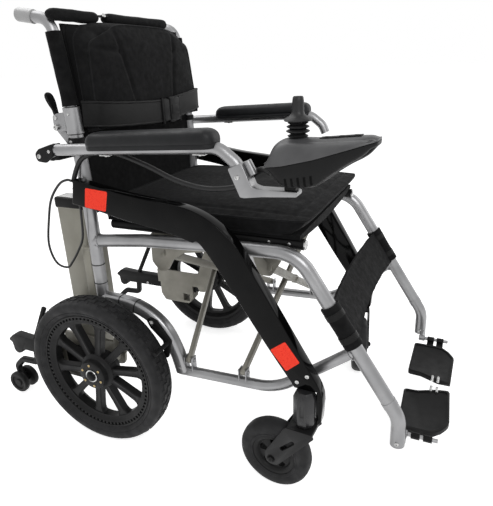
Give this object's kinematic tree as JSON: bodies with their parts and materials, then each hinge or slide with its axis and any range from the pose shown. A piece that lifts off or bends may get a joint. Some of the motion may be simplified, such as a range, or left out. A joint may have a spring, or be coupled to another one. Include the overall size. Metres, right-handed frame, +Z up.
{
  "type": "folding power wheelchair",
  "caption": "Folding power wheelchair with hub wheels, casters, cross braces, padded seat and back, flip-up armrests, joystick controller, battery and anti-tippers.",
  "frame": {"origin": "on the floor, in the middle of the footprint", "axes": "+Z up; the chair faces -Y and the user's right is -X"},
  "size_m": [0.6096, 1.0731, 0.9162],
  "materials": {
    "silver": "satin silver anodised tube",
    "stone": "warm grey powder coat",
    "gloss_black": "gloss black paint",
    "black_plastic": "matte black",
    "tyre_rubber": "matte black tyre",
    "boot_rubber": "matte black rubber",
    "pad_foam": "grained black moulded foam",
    "black_cloth": "black woven nylon",
    "dark_grey": "satin dark grey",
    "grip_grey": "satin light grey grip",
    "battery_grey": "satin warm grey case"
  },
  "bodies": {
    "right_frame": {"side_frame_right": "silver", "arm_right": "gloss_black", "caster_housing_right": "dark_grey", "drive_bracket_right": "stone", "armrest_hinge_right": "black_plastic", "battery_dock": "dark_grey", "battery_cable": "black_plastic", "seat_cushion": "black_cloth", "calf_strap": "black_cloth"},
    "left_frame": {"side_frame_left": "silver", "arm_left": "gloss_black", "caster_housing_left": "dark_grey", "drive_bracket_left": "stone", "armrest_hinge_left": "black_plastic"},
    "brace_a": {"brace_front_a": "stone", "brace_rear_a": "stone", "seat_rail_left": "black_plastic"},
    "brace_b": {"brace_front_b": "stone", "brace_rear_b": "stone", "seat_rail_right": "black_plastic"},
    "back_right": {"back_cane_right": "silver", "push_grip_right": "grip_grey", "back_sling": "black_cloth", "back_cushion": "black_cloth"},
    "back_left": {"back_cane_left": "silver", "push_grip_left": "grip_grey"},
    "armrest_right": {"armrest_tube_right": "silver", "armrest_pad_right": "pad_foam", "joystick_bracket": "silver", "controller_base": "dark_grey", "controller_lid": "dark_grey", "joystick_cable": "gloss_black"},
    "armrest_left": {"armrest_tube_left": "silver", "armrest_pad_left": "pad_foam"},
    "stick_tilt": {"joystick_boot": "boot_rubber"},
    "stick": {"joystick_knob": "dark_grey"},
    "power_key": {"button_power": "black_plastic"},
    "slower_key": {"button_slower": "black_plastic"},
    "faster_key": {"button_faster": "black_plastic"},
    "battery": {"battery_pack": "battery_grey"},
    "paddle_right": {"release_paddle_right": "black_plastic"},
    "rear_wheel_right": {"rear_rim_right": "black_plastic", "rear_tyre_right": "tyre_rubber"},
    "caster_fork_right": {"caster_fork_right": "stone"},
    "caster_wheel_right": {"caster_wheel_right": "black_plastic", "caster_tyre_right": "tyre_rubber"},
    "anti_tipper_right": {"anti_tipper_right": "black_plastic"},
    "rollers_right": {"anti_tip_rollers_right": "black_plastic"},
    "brake_right": {"brake_lever_right": "black_plastic"},
    "footrest_right": {"footplate_right": "black_plastic"},
    "paddle_left": {"release_paddle_left": "black_plastic"},
    "rear_wheel_left": {"rear_rim_left": "black_plastic", "rear_tyre_left": "tyre_rubber"},
    "caster_fork_left": {"caster_fork_left": "stone"},
    "caster_wheel_left": {"caster_wheel_left": "black_plastic", "caster_tyre_left": "tyre_rubber"},
    "anti_tipper_left": {"anti_tipper_left": "black_plastic"},
    "rollers_left": {"anti_tip_rollers_left": "black_plastic"},
    "brake_left": {"brake_lever_left": "black_plastic"},
    "footrest_left": {"footplate_left": "black_plastic"}
  },
  "joints": [
    {"name": "fold", "type": "hinge", "parent": "right_frame", "child": "brace_a", "pos_m": [-0.217, -0.1405, 0.216], "axis": [0, -1, 0], "range_deg": [0, 40], "deforming": ["seat_cushion", "back_sling", "back_cushion", "calf_strap"]},
    {"name": "brace_cross", "type": "hinge", "parent": "brace_a", "child": "brace_b", "pos_m": [0, -0.1669, 0.338], "axis": [0, -1, 0], "range_deg": [-80, 0]},
    {"name": "left_foot", "type": "hinge", "parent": "brace_b", "child": "left_frame", "pos_m": [0.217, -0.1615, 0.216], "axis": [0, -1, 0], "range_deg": [0, 40]},
    {"name": "back_fold_right", "type": "hinge", "parent": "right_frame", "child": "back_right", "pos_m": [-0.217, 0.239, 0.698], "axis": [-1, 0, 0], "range_deg": [0, 90]},
    {"name": "paddle_press_right", "type": "hinge", "parent": "back_right", "child": "paddle_right", "pos_m": [-0.217, 0.24, 0.7165], "axis": [-1, 0, 0], "range_deg": [0, 20], "stiffness_Nm_per_rad": 0.4, "springref_deg": -20.05},
    {"name": "armrest_flip_right", "type": "hinge", "parent": "right_frame", "child": "armrest_right", "pos_m": [-0.2605, 0.247, 0.65], "axis": [-1, 0, 0], "range_deg": [0, 95], "deforming": ["joystick_cable"]},
    {"name": "rear_wheel_roll_right", "type": "hinge", "parent": "right_frame", "child": "rear_wheel_right", "pos_m": [-0.2668, 0.191, 0.175], "axis": [1, 0, 0], "continuous": true},
    {"name": "caster_swivel_right", "type": "hinge", "parent": "right_frame", "child": "caster_fork_right", "pos_m": [-0.26, -0.284, 0.162], "axis": [0, 0, 1], "continuous": true},
    {"name": "caster_roll_right", "type": "hinge", "parent": "caster_fork_right", "child": "caster_wheel_right", "pos_m": [-0.25578, -0.22365, 0.0745], "axis": [0.9976, -0.0698, 0], "continuous": true},
    {"name": "anti_tipper_slide_right", "type": "slide", "parent": "right_frame", "child": "anti_tipper_right", "axis": [0, 1, 0], "range_m": [0, 0.12]},
    {"name": "roller_spin_right", "type": "hinge", "parent": "anti_tipper_right", "child": "rollers_right", "pos_m": [-0.222, 0.508, 0.037], "axis": [1, 0, 0], "continuous": true},
    {"name": "brake_right", "type": "hinge", "parent": "right_frame", "child": "brake_right", "pos_m": [-0.2335, 0.062, 0.2995], "axis": [-1, 0, 0], "range_deg": [0, 20]},
    {"name": "footplate_fold_right", "type": "hinge", "parent": "right_frame", "child": "footrest_right", "pos_m": [-0.185, -0.489, 0.135], "axis": [0, -1, 0], "range_deg": [0, 94]},
    {"name": "back_fold_left", "type": "hinge", "parent": "left_frame", "child": "back_left", "pos_m": [0.217, 0.239, 0.698], "axis": [-1, 0, 0], "range_deg": [0, 90]},
    {"name": "paddle_press_left", "type": "hinge", "parent": "back_left", "child": "paddle_left", "pos_m": [0.217, 0.24, 0.7165], "axis": [-1, 0, 0], "range_deg": [0, 20], "stiffness_Nm_per_rad": 0.4, "springref_deg": -20.05},
    {"name": "armrest_flip_left", "type": "hinge", "parent": "left_frame", "child": "armrest_left", "pos_m": [0.2605, 0.247, 0.65], "axis": [-1, 0, 0], "range_deg": [0, 95]},
    {"name": "rear_wheel_roll_left", "type": "hinge", "parent": "left_frame", "child": "rear_wheel_left", "pos_m": [0.2668, 0.191, 0.175], "axis": [1, 0, 0], "continuous": true},
    {"name": "caster_swivel_left", "type": "hinge", "parent": "left_frame", "child": "caster_fork_left", "pos_m": [0.26, -0.284, 0.162], "axis": [0, 0, 1], "continuous": true},
    {"name": "caster_roll_left", "type": "hinge", "parent": "caster_fork_left", "child": "caster_wheel_left", "pos_m": [0.20098, -0.2973, 0.0745], "axis": [-0.2199, 0.9755, 0], "continuous": true},
    {"name": "anti_tipper_slide_left", "type": "slide", "parent": "left_frame", "child": "anti_tipper_left", "axis": [0, 1, 0], "range_m": [0, 0.12]},
    {"name": "roller_spin_left", "type": "hinge", "parent": "anti_tipper_left", "child": "rollers_left", "pos_m": [0.222, 0.508, 0.037], "axis": [1, 0, 0], "continuous": true},
    {"name": "brake_left", "type": "hinge", "parent": "left_frame", "child": "brake_left", "pos_m": [0.2335, 0.062, 0.2995], "axis": [-1, 0, 0], "range_deg": [0, 20]},
    {"name": "footplate_fold_left", "type": "hinge", "parent": "left_frame", "child": "footrest_left", "pos_m": [0.185, -0.489, 0.135], "axis": [0, 1, 0], "range_deg": [0, 94]},
    {"name": "battery_lift", "type": "slide", "parent": "right_frame", "child": "battery", "axis": [0, 0, 1], "range_m": [0, 0.12]},
    {"name": "stick_fore_aft", "type": "hinge", "parent": "armrest_right", "child": "stick_tilt", "pos_m": [-0.2605, -0.268, 0.7], "axis": [1, 0, 0], "range_deg": [-15, 15], "stiffness_Nm_per_rad": 0.6},
    {"name": "stick_sideways", "type": "hinge", "parent": "stick_tilt", "child": "stick", "pos_m": [-0.2605, -0.268, 0.7], "axis": [0, 1, 0], "range_deg": [-15, 15], "stiffness_Nm_per_rad": 0.6, "deforming": ["joystick_boot"]},
    {"name": "power_press", "type": "slide", "parent": "armrest_right", "child": "power_key", "axis": [0, 0, -1], "range_m": [0, 0.0015], "stiffness_N_per_m": 600, "springref_m": -0.002},
    {"name": "slower_press", "type": "slide", "parent": "armrest_right", "child": "slower_key", "axis": [0, 0, -1], "range_m": [0, 0.0015], "stiffness_N_per_m": 600, "springref_m": -0.002},
    {"name": "faster_press", "type": "slide", "parent": "armrest_right", "child": "faster_key", "axis": [0, 0, -1], "range_m": [0, 0.0015], "stiffness_N_per_m": 600, "springref_m": -0.002}
  ],
  "couplings": [
    {"joint": "brace_cross", "follows": "fold", "ratio": -2},
    {"joint": "left_foot", "follows": "fold", "ratio": 1},
    {"joint": "footplate_fold_right", "follows": "fold", "ratio": 2.35},
    {"joint": "footplate_fold_left", "follows": "fold", "ratio": 2.35},
    {"joint": "back_fold_left", "follows": "back_fold_right", "ratio": 1}
  ]
}
